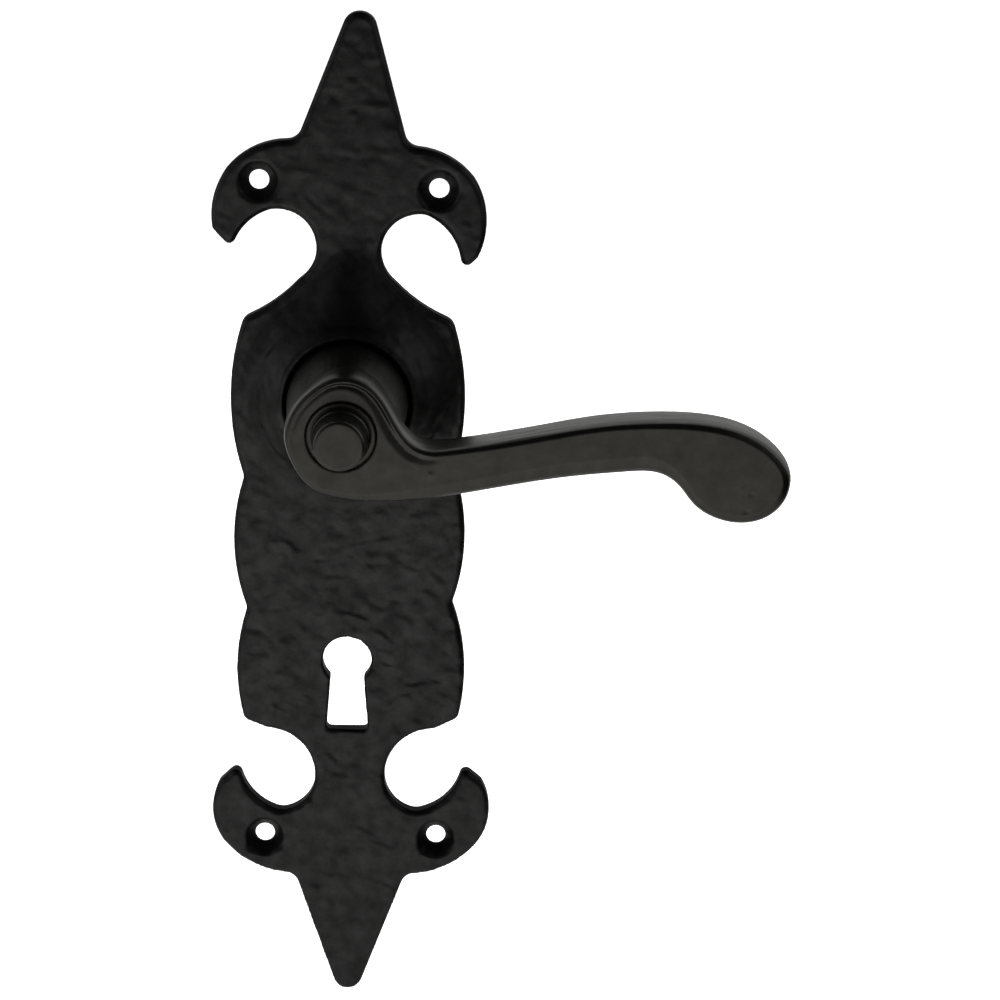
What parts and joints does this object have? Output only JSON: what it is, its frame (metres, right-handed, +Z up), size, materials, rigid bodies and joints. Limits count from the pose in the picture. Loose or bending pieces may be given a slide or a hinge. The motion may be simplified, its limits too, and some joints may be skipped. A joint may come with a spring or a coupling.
{
  "type": "lever handle on backplate",
  "caption": "Sprung scroll lever on a long forged-look backplate with spear ends, hooked corners, a flared bell, a keyhole and a square spindle.",
  "frame": {"origin": "on the spindle's axis, in the plane of the backplate's back face, which lies against the door", "axes": "+X points to the lever's free end, +Y into the door along the spindle, +Z up along the plate"},
  "size_m": [0.1171, 0.1258, 0.2079],
  "materials": {
    "plate_iron": "hammered casting, satin black coat",
    "lever_iron": "smooth casting, satin black coat",
    "nylon": "moulded black nylon",
    "washer_steel": "zinc plated",
    "spring_steel": "drawn wire, oiled",
    "screw_steel": "black oxide",
    "pressed_steel": "zinc plated pressing",
    "clip_steel": "phosphated spring steel",
    "spindle_steel": "bright zinc plated bar"
  },
  "bodies": {
    "backplate": {"backplate": "plate_iron", "neck_bush": "nylon", "thrust_washer": "washer_steel", "return_spring": "spring_steel"},
    "lever": {"lever": "lever_iron", "grub_screw": "screw_steel", "drive_plate": "pressed_steel", "circlip": "clip_steel"},
    "spindle": {"spindle": "spindle_steel"}
  },
  "joints": [
    {"name": "lever_turn", "type": "hinge", "parent": "backplate", "child": "lever", "pos_m": [0, 0, 0], "axis": [0, 1, 0], "range_deg": [0, 40], "stiffness_Nm_per_rad": 0.163, "springref_deg": -40.11, "deforming": ["return_spring"]},
    {"name": "spindle_slide", "type": "slide", "parent": "lever", "child": "spindle", "axis": [0, 1, 0], "range_m": [0, 0.012]}
  ]
}
